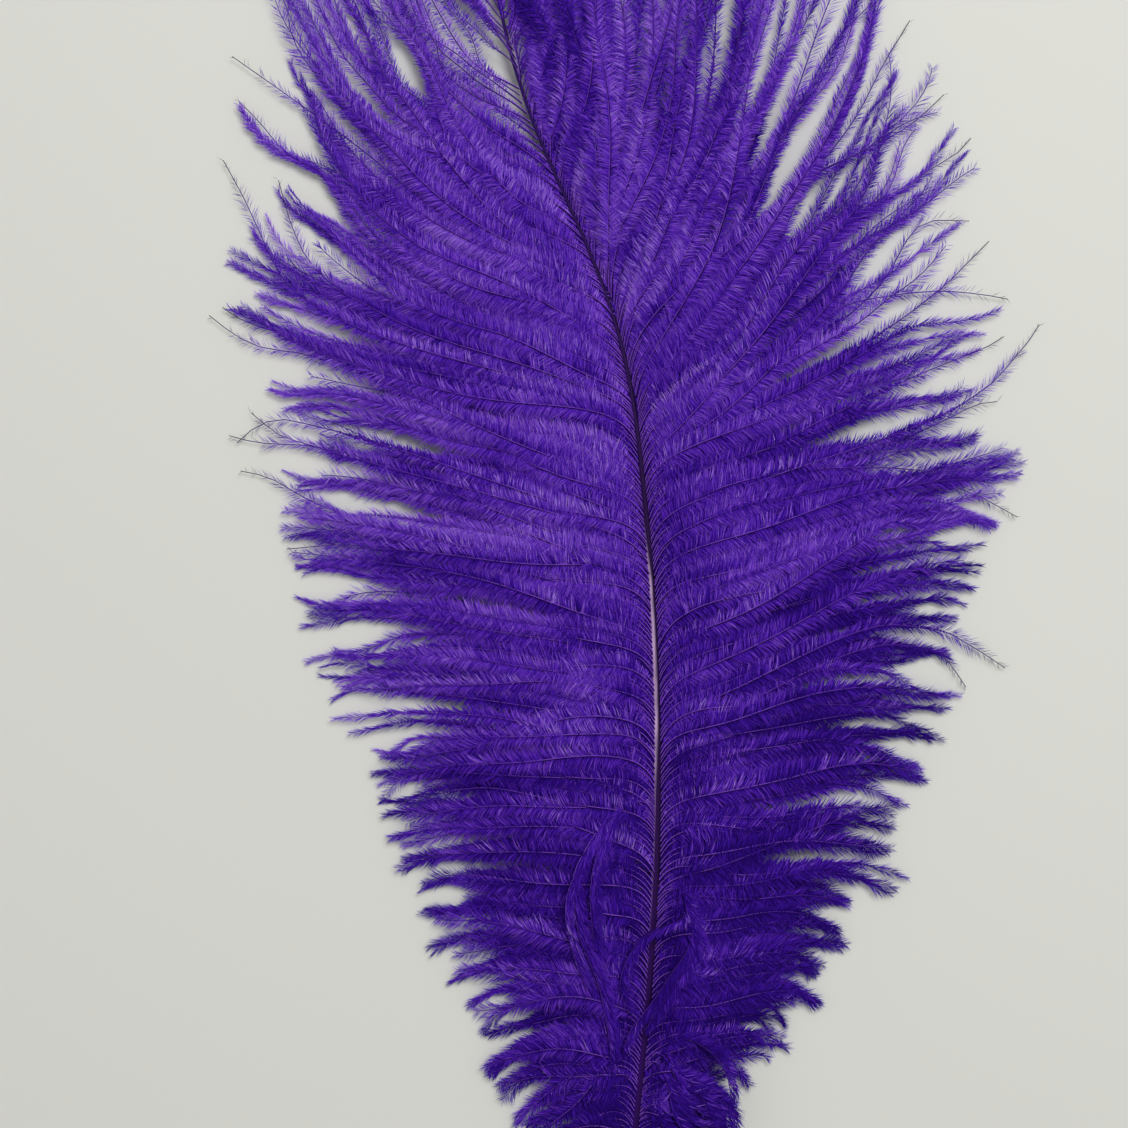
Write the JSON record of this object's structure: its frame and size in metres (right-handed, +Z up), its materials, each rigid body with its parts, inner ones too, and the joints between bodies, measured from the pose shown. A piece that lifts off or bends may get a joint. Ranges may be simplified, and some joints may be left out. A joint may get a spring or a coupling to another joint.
{
  "type": "ostrich feather",
  "caption": "Violet-dyed ostrich plume lying flat: a slender curved shaft with a wide, loose vane on each side, its barbs drooping to fine dark tips.",
  "frame": {"origin": "on the surface that the feather lies on, under the middle of its bounding box", "axes": "+Y runs from the quill end to the feather's tip, +Z up from the surface that it lies on, and +X across it"},
  "size_m": [0.2084, 0.4104, 0.0128],
  "materials": {
    "quill": "satin",
    "left_barbs": "matte",
    "right_barbs": "matte"
  },
  "bodies": {
    "root": {"shaft": "quill", "left_vane": "left_barbs", "right_vane": "right_barbs"}
  },
  "joints": []
}
